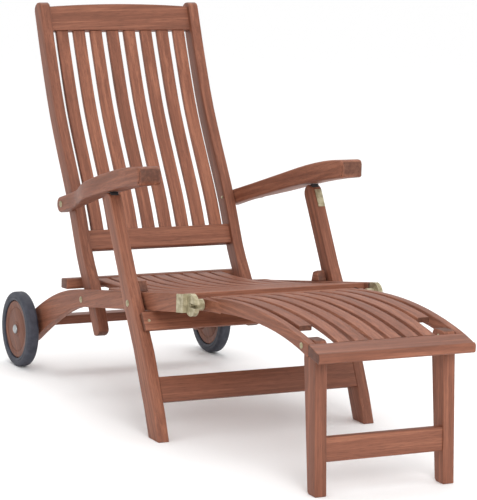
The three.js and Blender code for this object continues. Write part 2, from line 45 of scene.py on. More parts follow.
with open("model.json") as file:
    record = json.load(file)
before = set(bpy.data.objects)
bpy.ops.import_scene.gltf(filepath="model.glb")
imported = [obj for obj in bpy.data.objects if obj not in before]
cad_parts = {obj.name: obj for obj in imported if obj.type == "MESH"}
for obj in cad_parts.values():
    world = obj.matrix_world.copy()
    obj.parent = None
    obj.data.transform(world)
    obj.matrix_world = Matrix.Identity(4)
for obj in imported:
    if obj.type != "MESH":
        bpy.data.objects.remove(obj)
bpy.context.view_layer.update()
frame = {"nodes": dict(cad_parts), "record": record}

MM = 0.001
SIDES = ("left", "right")
NODE_BODY = {
    node: body for body, nodes in frame["record"]["behaviour"]["bodies"].items() for node in nodes
}
NODE_SLOT = {row["node"]: row["material_slot"] for row in frame["record"]["subparts"]}
JOINT_PLACE = {
    joint["name"]: Vector(joint["pos_m"]) for joint in frame["record"]["behaviour"]["joints"]
}
LEG_TOP_RADIUS = 22 * MM
PLATED_SIDE = "right"
# The front face of the board between the legs looks this way.
BOARD_FACING = Vector((0, -0.836, 0.549))


# ---- Settings ---------------------------------------------------------------------------


def length(label, description, millimetres):
    """A length property, stored in metres."""
    return bpy.props.FloatProperty(
        name=label, description=description, default=millimetres * MM, min=0.0, unit="LENGTH",
        precision=4,
    )


class DeckChairTimber(bpy.types.PropertyGroup):
    """Roundings and grain of the timber."""

    frame_round: length("Frame edge", "Radius planed on the edges of rails and legs", 2.6)
    slat_round: length("Slat edge", "Radius planed on the edges of the slats", 2.4)
    arm_round: length("Arm edge", "Radius sanded on the edges of the arms", 5.5)
    ring_width: length("Growth ring", "Usual distance between two growth rings on a face", 9.0)
    pore_width: length("Pore", "Width at which the wood's pores are drawn", 1.1)
    dark: bpy.props.StringProperty(name="Dark grain", description="Late wood colour", default="#673d2b")
    middle: bpy.props.StringProperty(name="Wood", description="Main wood colour", default="#7e4c38")
    light: bpy.props.StringProperty(name="Light grain", description="Early wood colour", default="#976149")


class DeckChairFittings(bpy.types.PropertyGroup):
    """Sizes and colours of the metal fittings and the tyres."""

    metal_round: length("Pin edge", "Radius turned on the edges of the hinge pins", 0.7)
    screw_radius: length("Screw head", "Radius of a countersunk screw head", 3.6)
    brass: bpy.props.StringProperty(name="Brass", description="Clean brass colour", default="#b8ae92")
    tarnish: bpy.props.StringProperty(name="Tarnish", description="Dulled brass colour", default="#8d8468")
    zinc: bpy.props.StringProperty(name="Zinc", description="Plated steel colour", default="#a9acad")
    rubber: bpy.props.StringProperty(name="Tyre", description="Tyre rubber colour", default="#2b2d38")
    # Near-black rubber of the blocks at the leg tops: painted shade standing in for the shadowed notch under
    # each arm.
    buffer: bpy.props.StringProperty(name="Notch_shade", description="Buffer rubber colour", default="#1c1c1e")


class DeckChairStage(bpy.types.PropertyGroup):
    """Floor, light and camera."""

    floor: bpy.props.StringProperty(name="Floor", description="Floor colour", default="#ffffff")
    azimuth: bpy.props.FloatProperty(
        name="Azimuth", description="Direction the camera looks in, from the chair's length",
        default=math.radians(26.84), subtype="ANGLE",
    )
    pitch: bpy.props.FloatProperty(
        name="Pitch", description="How far the camera looks down", default=math.radians(9.345),
        subtype="ANGLE",
    )
    roll: bpy.props.FloatProperty(
        name="Roll", description="Tilt of the camera", default=math.radians(1.68), subtype="ANGLE"
    )
    camera_place: bpy.props.FloatVectorProperty(
        name="Camera", description="Where the camera stands", default=(-2.640, -5.236, 1.3855), unit="LENGTH"
    )
    lens: bpy.props.FloatProperty(
        name="Lens", description="Focal length in millimetres", default=171.45, min=1.0
    )


# ---- Small tools ------------------------------------------------------------------------


def linear(hex_colour):
    """A colour written as sRGB hex, in linear light."""
    channels = [int(hex_colour[i:i + 2], 16) / 255 for i in (1, 3, 5)]
    return tuple(c / 12.92 if c <= 0.04045 else ((c + 0.055) / 1.055) ** 2.4 for c in channels) + (1.0,)


def add_node(tree, kind, links=None, **values):
    """Adds a shader node. Values are set on the properties or inputs they name, and links maps an input
    to the output it is fed from."""
    node = tree.nodes.new(kind)
    for name, value in values.items():
        if hasattr(node, name):
            setattr(node, name, value)
        else:
            node.inputs[name.replace("_", " ")].default_value = value
    for socket, source in (links or {}).items():
        tree.links.new(source, node.inputs[socket])
    return node


def new_material(name):
    """An empty material with one Principled shader. Returns the material, its tree and the shader."""
    material = bpy.data.materials.new(name)
    material.use_nodes = True
    return material, material.node_tree, material.node_tree.nodes["Principled BSDF"]


def ramp(tree, source, stops):
    """A colour ramp over the source value, from (position, colour) stops."""
    node = add_node(tree, "ShaderNodeValToRGB", {"Fac": source})
    elements = node.color_ramp.elements
    while len(elements) < len(stops):
        elements.new(0.5)
    for element, (position, colour) in zip(elements, stops):
        element.position = position
        element.color = colour
    return node


def multiplied(tree, colour, factor):
    """A colour output multiplied by a grey output."""
    node = add_node(tree, "ShaderNodeMix", data_type="RGBA", blend_type="MULTIPLY")
    node.inputs["Factor"].default_value = 1.0
    tree.links.new(colour, node.inputs[6])
    tree.links.new(factor, node.inputs[7])
    return node.outputs[2]


def settings():
    """The three groups of settings, as (timber, fittings, stage)."""
    scene = bpy.context.scene
    return scene.deck_chair_timber, scene.deck_chair_fittings, scene.deck_chair_stage


# ---- Materials --------------------------------------------------------------------------


def oiled_wood(name, shade=1.0):
    """Oiled tropical hardwood, planed and sanded: long dark streaks, fine pores, a soft satin gloss."""
    timber = settings()[0]
    material, tree, shader = new_material(name)
    grain = add_node(tree, "ShaderNodeAttribute", attribute_name="grain").outputs["Vector"]
    tone = add_node(tree, "ShaderNodeAttribute", attribute_name="tone").outputs["Fac"]

    def stretched(across, along):
        """Grain coordinates scaled so that one unit is the given size across and along the fibres."""
        scale = (1 / along, 1 / across, 1 / across)
        return add_node(tree, "ShaderNodeMapping", {"Vector": grain}, Scale=scale).outputs["Vector"]

    # Growth rings cut lengthwise: bands a few millimetres wide that wander slowly.
    rings = add_node(
        tree, "ShaderNodeTexNoise", {"Vector": stretched(timber.ring_width, timber.ring_width * 34)},
        Scale=1.0, Detail=3.0, Roughness=0.55, Distortion=0.35,
    ).outputs["Fac"]
    # Fibre streaks within a ring.
    streaks = add_node(
        tree, "ShaderNodeTexNoise", {"Vector": stretched(timber.ring_width / 4, timber.ring_width * 14)},
        Scale=1.0, Detail=4.0, Roughness=0.65,
    ).outputs["Fac"]
    # Open pores: short dark scratches along the fibres, drawn wider than real ones so that they show.
    pores = add_node(
        tree, "ShaderNodeTexNoise", {"Vector": stretched(timber.pore_width, timber.pore_width * 26)},
        Scale=1.0, Detail=2.0, Roughness=0.5,
    ).outputs["Fac"]

    streak_share = 0.55
    mixed = add_node(tree, "ShaderNodeMath", {0: streaks, 2: rings}, operation="MULTIPLY_ADD")
    mixed.inputs[1].default_value = streak_share
    level = add_node(tree, "ShaderNodeMath", {0: mixed.outputs[0], 1: tone}, operation="ADD").outputs[0]
    dark, middle, light = (
        tuple(channel * shade for channel in linear(colour)[:3]) + (1.0,)
        for colour in (timber.dark, timber.middle, timber.light)
    )
    colour = ramp(tree, level, [(0.44, dark), (0.76, middle), (1.0, light)]).outputs["Color"]
    pore_mask = add_node(
        tree, "ShaderNodeMapRange", {"Value": pores}, From_Min=0.36, From_Max=0.46, To_Min=0.72, To_Max=1.0
    ).outputs["Result"]
    # Sawn ends drink more oil, so they are darker than the faces.
    fibre = add_node(tree, "ShaderNodeAttribute", attribute_name="fibre").outputs["Vector"]
    facing = add_node(tree, "ShaderNodeTexCoord").outputs["Normal"]
    lined_up = add_node(tree, "ShaderNodeVectorMath", {0: fibre, 1: facing}, operation="DOT_PRODUCT")
    end_grain = add_node(tree, "ShaderNodeMath", {0: lined_up.outputs["Value"]}, operation="ABSOLUTE")
    oiled_end = add_node(
        tree, "ShaderNodeMapRange", {"Value": end_grain.outputs[0]}, From_Min=0.7, From_Max=0.95, To_Min=1.0,
        To_Max=0.5,
    ).outputs["Result"]
    with_pores = multiplied(tree, colour, pore_mask)
    tree.links.new(multiplied(tree, with_pores, oiled_end), shader.inputs["Base Color"])

    roughness = add_node(
        tree, "ShaderNodeMapRange", {"Value": streaks}, From_Min=0.3, From_Max=0.7, To_Min=0.46, To_Max=0.62
    ).outputs["Result"]
    tree.links.new(roughness, shader.inputs["Roughness"])
    relief = add_node(tree, "ShaderNodeMath", {0: pores, 1: streaks}, operation="ADD").outputs[0]
    bump = add_node(tree, "ShaderNodeBump", {"Height": relief}, Strength=0.22, Distance=0.3 * MM)
    tree.links.new(bump.outputs["Normal"], shader.inputs["Normal"])
    shader.inputs["Specular IOR Level"].default_value = 0.35
    return material


def tarnished_brass():
    """Brass sheet left outdoors: pale metal with dull grey-green patches and fine handling marks."""
    fittings = settings()[1]
    material, tree, shader = new_material("tarnished_brass")
    place = add_node(tree, "ShaderNodeTexCoord").outputs["Object"]
    patches = add_node(
        tree, "ShaderNodeTexNoise", {"Vector": place}, Scale=1 / (14 * MM), Detail=4.0, Roughness=0.6
    ).outputs["Fac"]
    marks = add_node(
        tree, "ShaderNodeTexNoise", {"Vector": place}, Scale=1 / (1.4 * MM), Detail=3.0
    ).outputs["Fac"]
    colour = ramp(tree, patches, [(0.36, linear(fittings.tarnish)), (0.62, linear(fittings.brass))])
    tree.links.new(colour.outputs["Color"], shader.inputs["Base Color"])
    rough = add_node(
        tree, "ShaderNodeMapRange", {"Value": patches}, From_Min=0.3, From_Max=0.7, To_Min=0.58, To_Max=0.42
    )
    tree.links.new(rough.outputs["Result"], shader.inputs["Roughness"])
    bump = add_node(tree, "ShaderNodeBump", {"Height": marks}, Strength=0.12, Distance=0.1 * MM)
    tree.links.new(bump.outputs["Normal"], shader.inputs["Normal"])
    shader.inputs["Metallic"].default_value = 0.55
    return material


def plated_steel():
    """Zinc-plated mild steel: a cool grey with a faint spangle."""
    material, tree, shader = new_material("zinc_plated_steel")
    place = add_node(tree, "ShaderNodeTexCoord").outputs["Object"]
    spangle = add_node(
        tree, "ShaderNodeTexVoronoi", {"Vector": place}, Scale=1 / (2.5 * MM)
    ).outputs["Distance"]
    rough = add_node(
        tree, "ShaderNodeMapRange", {"Value": spangle}, From_Max=0.8, To_Min=0.32, To_Max=0.5
    )
    tree.links.new(rough.outputs["Result"], shader.inputs["Roughness"])
    shader.inputs["Base Color"].default_value = linear(settings()[1].zinc)
    shader.inputs["Metallic"].default_value = 0.9
    return material


def moulded_rubber(name, hex_colour):
    """Moulded rubber: nearly matt, slightly dusty, with the fine tooth of the mould."""
    material, tree, shader = new_material(name)
    place = add_node(tree, "ShaderNodeTexCoord").outputs["Object"]
    dust = add_node(
        tree, "ShaderNodeTexNoise", {"Vector": place}, Scale=1 / (22 * MM), Detail=5.0, Roughness=0.6
    ).outputs["Fac"]
    tooth = add_node(tree, "ShaderNodeTexNoise", {"Vector": place}, Scale=1 / (1.2 * MM)).outputs["Fac"]
    clean = linear(hex_colour)
    dusty = tuple(min(1.0, 0.02 + 1.5 * channel) for channel in clean[:3]) + (1.0,)
    colour = ramp(tree, dust, [(0.4, clean), (0.8, dusty)])
    tree.links.new(colour.outputs["Color"], shader.inputs["Base Color"])
    bump = add_node(tree, "ShaderNodeBump", {"Height": tooth}, Strength=0.15, Distance=0.15 * MM)
    tree.links.new(bump.outputs["Normal"], shader.inputs["Normal"])
    shader.inputs["Roughness"].default_value = 0.62
    return material


FINISHES = {}


def finish(slot):
    """The material of one of the record's slots, made the first time it is asked for."""
    makers = {
        "frame_wood": lambda: oiled_wood("oiled_hardwood_frame"),
        "slat_wood": lambda: oiled_wood("oiled_hardwood_slats", 1.06),
        "wheel_wood": lambda: oiled_wood("oiled_hardwood_wheels", 0.72),
        "brass": tarnished_brass,
        "steel": plated_steel,
        "rubber": lambda: moulded_rubber("moulded_tyre_rubber", settings()[1].rubber),
        # Near-black rubber of the leg-top blocks, which paints the shade of the arm's notch over each leg.
        "buffer": lambda: moulded_rubber("notch_shade_rubber", settings()[1].buffer),
    }
    if slot not in FINISHES:
        FINISHES[slot] = makers[slot]()
    return FINISHES[slot]


# ---- Meshes -----------------------------------------------------------------------------


def add_piece(name, mesh, body, slot, finish_name=None):
    """Adds a mesh as a piece of the chair that rides on a body."""
    piece = bpy.data.objects.new(name, mesh)
    bpy.context.scene.collection.objects.link(piece)
    piece.data.materials.append(finish(finish_name or slot))
    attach(piece, body)
    return piece


def smooth_faces(mesh, angle=38):
    """Smooth shading that keeps the edges sharper than the angle, in degrees."""
    mesh.polygons.foreach_set("use_smooth", [True] * len(mesh.polygons))
    mesh.set_sharp_from_angle(angle=math.radians(angle))


def main_axis(points):
    """The direction in which a cloud of points is longest."""
    middle = sum(points, Vector()) / len(points)
    direction = Vector((0.31, 0.83, 0.47))
    for _ in range(40):
        total = Vector()
        for point in points:
            offset = point - middle
            total += offset * offset.dot(direction)
        direction = total.normalized()
    return direction


def lay_grain(mesh, seed, axis=None):
    """Stores where each point lies in its own plank of wood, and the plank's tone."""
    points = [vertex.co.copy() for vertex in mesh.vertices]
    along = axis or main_axis(points)
    side = along.cross(Vector((0.0, 0.3, 1.0))).normalized()
    rise = along.cross(side)
    shift = Vector((1.7 * seed % 5, 0.613 * seed % 3, 0.377 * seed % 2))
    plank_tone = 0.07 * math.sin(2.4 * seed) + 0.03 * math.sin(5.1 * seed + 1)
    places = []
    for point in points:
        places.extend(Vector((point.dot(along), point.dot(side), point.dot(rise))) + shift)
    mesh.attributes.new("grain", "FLOAT_VECTOR", "POINT")
    mesh.attributes["grain"].data.foreach_set("vector", places)
    mesh.attributes.new("tone", "FLOAT", "POINT")
    mesh.attributes["tone"].data.foreach_set("value", [plank_tone] * len(points))
    mesh.attributes.new("fibre", "FLOAT_VECTOR", "POINT")
    mesh.attributes["fibre"].data.foreach_set("vector", list(along) * len(points))


def rounded_copy(node, radius, segments=3, along=None):
    """The node's solid as a new mesh with its long sharp edges rounded. Bore mouths stay as cut.

    Where a direction is given, only the edges near that direction are rounded, because the piece's ends
    are jointed into its neighbours."""
    mesh = frame["nodes"][node].data.copy()
    solid = bmesh.new()
    solid.from_mesh(mesh)
    bmesh.ops.remove_doubles(solid, verts=solid.verts, dist=0.02 * MM)
    bmesh.ops.dissolve_limit(
        solid, angle_limit=math.radians(0.6), verts=solid.verts, edges=solid.edges, delimit={"NORMAL"}
    )
    shortest = 2.2 * MM
    edges = [
        edge for edge in solid.edges
        if len(edge.link_faces) == 2 and edge.calc_face_angle(0.0) > math.radians(32)
        and edge.calc_length() > shortest
        and (along is None or runs_along(edge, along))
    ]
    bmesh.ops.bevel(
        solid, geom=edges, offset=radius, offset_type="OFFSET", segments=segments, profile=0.5,
        affect="EDGES", clamp_overlap=False,
    )
    bmesh.ops.remove_doubles(solid, verts=solid.verts, dist=0.02 * MM)
    bmesh.ops.recalc_face_normals(solid, faces=solid.faces)
    solid.to_mesh(mesh)
    solid.free()
    mesh.materials.clear()
    smooth_faces(mesh)
    return mesh


def runs_along(edge, direction):
    """Whether an edge lies within about 40 degrees of a direction."""
    line = (edge.verts[1].co - edge.verts[0].co).normalized()
    return abs(line.dot(direction)) > 0.77


def plank(node, radius, seed, jointed=False, shape=None):
    """A piece of timber with rounded edges that stands for a node. The shape function may rework it."""
    axis = main_axis([vertex.co.copy() for vertex in frame["nodes"][node].data.vertices])
    mesh = rounded_copy(node, radius, along=axis if jointed else None)
    if shape:
        shape(mesh)
    lay_grain(mesh, seed, axis)
    piece = add_piece(f"{node}_timber", mesh, NODE_BODY[node], NODE_SLOT[node])
    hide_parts(node)
    return piece


def planks(nodes, radius, first_seed, jointed=False):
    """Several pieces of timber, each from its own plank."""
    for index, node in enumerate(nodes):
        plank(node, radius, first_seed + index, jointed)


def turned(name, profile, centre, steps=64):
    """A turned mesh about an axis across the chair. The profile is a list of (radius, x)."""
    solid = bmesh.new()
    previous = None
    for radius, x in profile:
        if radius < 1e-7:
            ring = [solid.verts.new((x, centre[0], centre[1]))]
        else:
            ring = [
                solid.verts.new((
                    x,
                    centre[0] + radius * math.cos(2 * math.pi * step / steps),
                    centre[1] + radius * math.sin(2 * math.pi * step / steps),
                ))
                for step in range(steps)
            ]
        if previous is not None:
            for step in range(steps):
                after = (step + 1) % steps
                corners = [previous[step % len(previous)], previous[after % len(previous)]]
                corners += [ring[after % len(ring)], ring[step % len(ring)]]
                distinct = list(dict.fromkeys(corners))
                if len(distinct) > 2:
                    solid.faces.new(distinct)
        previous = ring
    bmesh.ops.remove_doubles(solid, verts=solid.verts, dist=1e-6)
    bmesh.ops.recalc_face_normals(solid, faces=solid.faces)
    mesh = bpy.data.meshes.new(name)
    solid.to_mesh(mesh)
    solid.free()
    smooth_faces(mesh)
    return mesh


def arc(centre, radius, start, end, steps):
    """Points on an arc, with angles in degrees."""
    return [
        (
            centre[0] + radius * math.cos(math.radians(start + (end - start) * step / steps)),
            centre[1] + radius * math.sin(math.radians(start + (end - start) * step / steps)),
        )
        for step in range(steps + 1)
    ]


def node_centre(node):
    """The middle of a node's box, as (y, z)."""
    low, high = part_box(node)
    return (low[1] + high[1]) / 2, (low[2] + high[2]) / 2


def domed_bolt(node, sign):
    """A coach bolt with a domed head on a washer, in place of a plain bolt node."""
    low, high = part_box(node)
    head_radius = (high[2] - low[2]) / 2
    inner, outer = (low[0], high[0]) if sign > 0 else (-high[0], -low[0])
    dome = 3.6 * MM
    washer = 0.9 * MM
    face = outer - dome
    rise = dome - washer
    # The dome is part of a sphere that meets the washer at most of the head's radius.
    cap_radius = 0.82 * head_radius
    sphere = (cap_radius ** 2 + rise ** 2) / (2 * rise)
    profile = [(0, inner), (3.2 * MM, inner), (4 * MM, inner + 0.8 * MM), (4 * MM, face)]
    profile += [(head_radius - 0.2 * MM, face), (head_radius, face + 0.2 * MM)]
    profile += [(head_radius, face + washer - 0.2 * MM), (head_radius - 0.2 * MM, face + washer)]
    for step in range(9):
        radius = cap_radius * (1 - step / 8)
        profile.append((radius, outer - sphere + math.sqrt(sphere ** 2 - radius ** 2)))
    mesh = turned(node, [(radius, sign * x) for radius, x in profile], node_centre(node), 40)
    piece = add_piece(f"{node}_domed", mesh, NODE_BODY[node], "brass")
    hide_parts(node)


def screw_head(name, place, normal, body, turn=0.4):
    """A countersunk screw head with a cross slot, set a hair proud of the surface."""
    radius = settings()[1].screw_radius
    solid = bmesh.new()
    steps = 24
    depth = 0.5 * MM
    slot_half = 0.16
    proud = 0.3 * MM
    levels = [(1.0, -proud), (1.0, 0.0), (0.93, 0.6 * proud), (0.62, proud), (0.3, proud), (0.0, proud)]
    rings = []
    for scale, height in levels:
        if scale == 0.0:
            rings.append([solid.verts.new((0, 0, height - depth))])
            continue
        ring = []
        for step in range(steps):
            angle = 2 * math.pi * step / steps
            across = min(abs(math.sin(2 * angle)), 1.0)
            sunk = depth if scale < 0.7 and across * scale < 2 * slot_half else 0.0
            ring.append(solid.verts.new((
                radius * scale * math.cos(angle), radius * scale * math.sin(angle), height - sunk
            )))
        rings.append(ring)
    for lower, upper in zip(rings, rings[1:]):
        for step in range(steps):
            after = (step + 1) % steps
            corners = [lower[step], lower[after], upper[after % len(upper)], upper[step % len(upper)]]
            solid.faces.new(list(dict.fromkeys(corners)))
    solid.faces.new(list(reversed(rings[0])))
    facing = Vector(normal).normalized()
    matrix = Matrix.Translation(place) @ facing.to_track_quat("Z", "Y").to_matrix().to_4x4()
    bmesh.ops.transform(solid, matrix=matrix @ Matrix.Rotation(turn, 4, "Z"), verts=solid.verts)
    mesh = bpy.data.meshes.new(name)
    solid.to_mesh(mesh)
    solid.free()
    smooth_faces(mesh)
    add_piece(name, mesh, body, "brass")


def block(name, centre, half, rise, out, rounding, slot, finish_name=None):
    """A small rounded block on the front of a leg. Its half sizes run across, up and out of the leg."""
    solid = bmesh.new()
    bmesh.ops.create_cube(solid, size=2)
    across = Vector((1, 0, 0))
    for vertex in solid.verts:
        x, y, z = vertex.co
        vertex.co = centre + across * x * half[0] + rise * y * half[1] + out * z * half[2]
    bmesh.ops.bevel(
        solid, geom=solid.edges[:], offset=rounding, segments=3, profile=0.5, affect="EDGES",
        clamp_overlap=True,
    )
    bmesh.ops.recalc_face_normals(solid, faces=solid.faces)
    mesh = bpy.data.meshes.new(name)
    solid.to_mesh(mesh)
    solid.free()
    smooth_faces(mesh)
    add_piece(name, mesh, "front_legs", slot, finish_name)


# ---- Operators --------------------------------------------------------------------------


class DECKCHAIR_OT_seat_frame(bpy.types.Operator):
    """Build the seat rails, cross rails and rest cleats"""

    bl_idname = "deck_chair.seat_frame"
    bl_label = "Seat Frame"

    def execute(self, context):
        radius = settings()[0].frame_round
        nodes = [f"seat_rail_{side}" for side in SIDES] + [f"rest_cleat_{side}" for side in SIDES]
        planks(nodes + ["seat_rear_rail"], radius, 1)
        planks(["seat_front_rail", "axle_board"], radius, 6, jointed=True)
        return {"FINISHED"}


class DECKCHAIR_OT_seat_slats(bpy.types.Operator):
    """Build the seat slats on their batten"""

    bl_idname = "deck_chair.seat_slats"
    bl_label = "Seat Slats"

    def execute(self, context):
        plank("seat_slats", settings()[0].slat_round, 9)
        return {"FINISHED"}


class DECKCHAIR_OT_backrest(bpy.types.Operator):
    """Build the backrest's uprights, rails and slats"""

    bl_idname = "deck_chair.backrest"
    bl_label = "Backrest"

    def execute(self, context):
        timber = settings()[0]
        slats = sorted(node for node in NODE_BODY if node.startswith("back_slat_"))
        planks([f"back_stile_{side}" for side in SIDES], timber.frame_round, 12)
        planks(["back_bottom_rail", "back_top_rail"], timber.frame_round, 14, jointed=True)
        planks(slats, timber.slat_round, 20, jointed=True)
        return {"FINISHED"}


class DECKCHAIR_OT_arms(bpy.types.Operator):
    """Build the curved arms"""

    bl_idname = "deck_chair.arms"
    bl_label = "Arms"

    def execute(self, context):
        planks([f"arm_{side}" for side in SIDES], settings()[0].arm_round, 31)
        return {"FINISHED"}


class DECKCHAIR_OT_front_legs(bpy.types.Operator):
    """Build the front legs, their stretcher and board, the near-black blocks of painted shade at their tops
    and the plate on one of them
    """

    bl_idname = "deck_chair.front_legs"
    bl_label = "Front Legs"

    def execute(self, context):
        timber = settings()[0]
        planks([f"front_leg_{side}" for side in SIDES] + ["front_leg_board"], timber.frame_round, 40)
        plank("front_leg_stretcher", timber.frame_round, 44, jointed=True)
        for side in SIDES:
            top, rise, out = self.leg_top(side)
            if side == PLATED_SIDE:
                self.add_plate(top - rise * 22 * MM + out * (LEG_TOP_RADIUS + 0.9 * MM), rise, out)
            corner = top + rise * 13 * MM + out * 14 * MM
            size = (11 * MM, 6 * MM, 6 * MM)
            # A near-black rubber block at each leg top: painted shade standing in for the shadowed notch in
            # the arm's underside.
            block(f"leg_notch_shade_{side}", corner, size, rise, out, 2.6 * MM, "rubber", "buffer")
        self.add_board_screws()
        return {"FINISHED"}

    @staticmethod
    def add_plate(middle, rise, out):
        """A thin plate below the near-black block of painted shade, held by two screws."""
        middle = middle + Vector((3.5 * MM, 0, 0))
        block("leg_plate", middle, (9.5 * MM, 24 * MM, 1.1 * MM), rise, out, 0.6 * MM, "brass")
        for index, along in enumerate((-15 * MM, 15 * MM)):
            place = middle + rise * along + out * 1.15 * MM
            screw_head(f"leg_plate_screw_{index + 1}", place, out, "front_legs", 0.3 + index)

    @staticmethod
    def leg_top(side):
        """The centre of a leg's rounded top, the direction up the leg and its outward direction."""
        rise = JOINT_PLACE["arm_tilt"] - JOINT_PLACE["recline"]
        low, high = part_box(f"front_leg_{side}")
        top = JOINT_PLACE["leg_fold"] + rise + Vector(((low[0] + high[0]) / 2, 0, 0))
        rise.normalize()
        return top, rise, Vector((0, -rise.z, rise.y))

    @staticmethod
    def add_board_screws():
        """A screw through each end of the board into the legs."""
        low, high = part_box("front_leg_board")
        half_thickness = 8.2 * MM
        middle = Vector((0, (low[1] + high[1]) / 2, (low[2] + high[2]) / 2))
        face_middle = middle + BOARD_FACING * half_thickness
        for side, sign in zip(SIDES, (-1, 1)):
            place = face_middle + Vector((sign * (high[0] - 14 * MM), 0, 0))
            screw_head(f"board_screw_{side}", place, BOARD_FACING, "front_legs", 0.9 + sign)


class DECKCHAIR_OT_footrest(bpy.types.Operator):
    """Build the leg rest's rails and slats, and its folding legs"""

    bl_idname = "deck_chair.footrest"
    bl_label = "Leg Rest"

    def execute(self, context):
        timber = settings()[0]
        slats = sorted(node for node in NODE_BODY if node.startswith("footrest_slat_"))
        for index, side in enumerate(SIDES):
            plank(f"footrest_rail_{side}", timber.frame_round, 50 + index, shape=self.feather_block)
        plank("footrest_end_rail", timber.frame_round, 52)
        plank("footrest_rear_rail", timber.frame_round, 53, jointed=True)
        planks(slats, timber.slat_round, 60, jointed=True)
        planks([f"footrest_leg_{side}" for side in SIDES], timber.frame_round, 70)
        plank("footrest_leg_stretcher", timber.frame_round, 72, jointed=True)
        return {"FINISHED"}

    @staticmethod
    def feather_block(mesh):
        """Planes the packing block beside the hinge down to the rail's face at its front end."""
        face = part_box("footrest_end_rail")[1][0] + 0.2 * MM
        front = JOINT_PLACE["footrest_flip"].y - 30 * MM
        for vertex in mesh.vertices:
            if abs(vertex.co.x) > face and vertex.co.y < front:
                vertex.co.x = math.copysign(face, vertex.co.x)


class DECKCHAIR_OT_hinges(bpy.types.Operator):
    """Build the brass caps and pins of the leg rest's hinges"""

    bl_idname = "deck_chair.hinges"
    bl_label = "Hinges"

    def execute(self, context):
        fittings = settings()[1]
        for side, sign in zip(SIDES, (-1, 1)):
            cap = f"hinge_cap_{side}"
            # Rounding folds the mesh over itself at the slot, so the caps keep sharp edges.
            mesh = frame["nodes"][cap].data.copy()
            mesh.materials.clear()
            smooth_faces(mesh, 25)
            piece = add_piece(f"{cap}_worn", mesh, "root", "brass")
            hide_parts(cap)
            low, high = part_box(cap)
            outer = high[0] if sign > 0 else low[0]
            for index, down in enumerate((16, 38)):
                place = Vector((outer + sign * 0.05 * MM, high[1] - 17 * MM, high[2] - down * MM))
                screw_head(f"{cap}_screw_{index + 1}", place, (sign, 0, 0), "root", 0.5 + index)
            pin = f"hinge_pin_{side}"
            piece = add_piece(f"{pin}_turned", rounded_copy(pin, fittings.metal_round, 2), "root", "brass")
            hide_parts(pin)
        return {"FINISHED"}


class DECKCHAIR_OT_bolts(bpy.types.Operator):
    """Build the domed bolts of the pivots"""

    bl_idname = "deck_chair.bolts"
    bl_label = "Bolts"

    def execute(self, context):
        for kind in ("back_pivot_bolt", "leg_pivot_bolt", "arm_bolt", "footrest_leg_bolt"):
            for side, sign in zip(SIDES, (-1, 1)):
                domed_bolt(f"{kind}_{side}", sign)
        return {"FINISHED"}


class DECKCHAIR_OT_wheels(bpy.types.Operator):
    """Build the wooden discs, the tyres and the axle bolts"""

    bl_idname = "deck_chair.wheels"
    bl_label = "Wheels"

    def execute(self, context):
        for side, sign in zip(SIDES, (-1, 1)):
            self.add_tyre(side)
            self.add_disc(side, sign)
            self.add_axle(side, sign)
        return {"FINISHED"}

    @staticmethod
    def add_tyre(side):
        """A solid tyre with a rounded tread and two moulded lines on each wall."""
        node = f"tyre_{side}"
        low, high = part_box(node)
        middle, half = (low[0] + high[0]) / 2, (high[0] - low[0]) / 2
        outer = (high[2] - low[2]) / 2
        inner = 79 * MM
        crown = half - 0.4 * MM
        right = [(inner, half - 2.4 * MM), (inner + 2 * MM, half - 0.6 * MM), (inner + 5 * MM, half)]
        right += [(inner + 8 * MM, half), (inner + 8.7 * MM, half - 0.9 * MM), (inner + 9.4 * MM, half)]
        shoulder = arc((outer - 9 * MM, half - 9 * MM), 9 * MM, 90, 8, 8)
        tread = [(outer - 0.2 * MM, 0.35 * crown), (outer, 0.2 * crown)]
        side_points = right + [(radius, x) for radius, x in shoulder] + tread
        profile = [(radius, middle + x) for radius, x in side_points]
        profile += [(radius, middle - x) for radius, x in reversed(side_points)]
        profile.append(profile[0])
        mesh = turned(node, profile, node_centre(node), 96)
        piece = add_piece(f"{node}_moulded", mesh, NODE_BODY[node], "rubber")
        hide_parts(node)

    @staticmethod
    def add_disc(side, sign):
        """A turned wooden disc with a bead near its rim and a raised boss, made from one board."""
        node = f"wheel_disc_{side}"
        low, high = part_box(node)
        middle, half = (low[0] + high[0]) / 2, (high[0] - low[0]) / 2
        rim = (high[2] - low[2]) / 2
        side_points = [(5.6 * MM, half), (19 * MM, half), (21 * MM, half - 1.6 * MM)]
        side_points += [(23 * MM, half - 1.8 * MM)]
        side_points += [(58 * MM, half - 1.8 * MM), (60 * MM, half - 3.2 * MM), (62 * MM, half - 1.6 * MM)]
        side_points += [(rim - 3 * MM, half - 0.6 * MM), (rim, half - 3.4 * MM)]
        profile = [(radius, middle + x) for radius, x in side_points]
        profile += [(radius, middle - x) for radius, x in reversed(side_points)]
        profile.append(profile[0])
        mesh = turned(node, profile, node_centre(node), 96)
        lay_grain(mesh, 81 + sign, Vector((0, 0.6, 0.8)))
        piece = add_piece(f"{node}_turned", mesh, NODE_BODY[node], "wheel_wood")
        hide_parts(node)

    @staticmethod
    def add_axle(side, sign):
        """A plated axle bolt with a flange inside the rail and a domed cap outside the wheel."""
        node = f"axle_bolt_{side}"
        low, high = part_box(node)
        inner, outer = (low[0], high[0]) if sign > 0 else (-high[0], -low[0])
        cap = (high[2] - low[2]) / 2
        edge = outer - 6.4 * MM
        profile = [(0, inner), (9.4 * MM, inner), (10 * MM, inner + 0.6 * MM), (10 * MM, inner + 5 * MM)]
        profile += [(5 * MM, inner + 5 * MM), (5 * MM, edge), (cap, edge), (cap, edge + 1.8 * MM)]
        for degrees in range(15, 90, 15):
            turn = math.radians(degrees)
            profile.append((cap * math.cos(turn), edge + 1.8 * MM + 4.6 * MM * math.sin(turn)))
        profile.append((0, outer))
        mesh = turned(node, [(radius, sign * x) for radius, x in profile], node_centre(node), 40)
        piece = add_piece(f"{node}_turned", mesh, "root", "steel")
        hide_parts(node)


